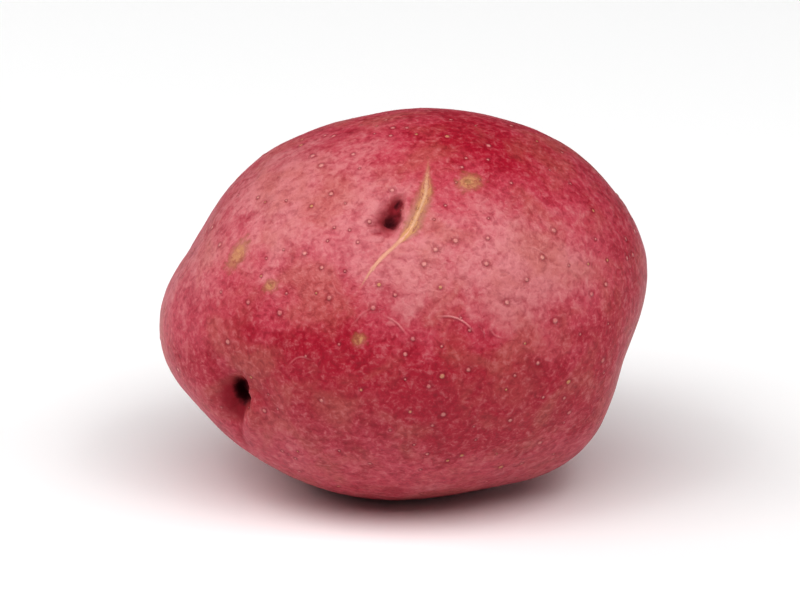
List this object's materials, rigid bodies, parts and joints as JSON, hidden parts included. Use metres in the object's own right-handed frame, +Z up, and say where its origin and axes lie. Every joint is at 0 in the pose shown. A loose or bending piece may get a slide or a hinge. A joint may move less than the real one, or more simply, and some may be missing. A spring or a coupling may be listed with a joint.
{
  "type": "potato",
  "caption": "Whole red-skinned potato, round to oval, with shallow eyes, lying on a small flat spot.",
  "frame": {"origin": "middle of the tuber's outline seen from above, on the plane it rests on", "axes": "+X along the tuber from its stem end to its bud end, +Z up from the resting plane, -Y towards its front"},
  "size_m": [0.084, 0.07, 0.065],
  "materials": {
    "skin": "satin"
  },
  "bodies": {
    "root": {"potato": "skin"}
  },
  "joints": []
}
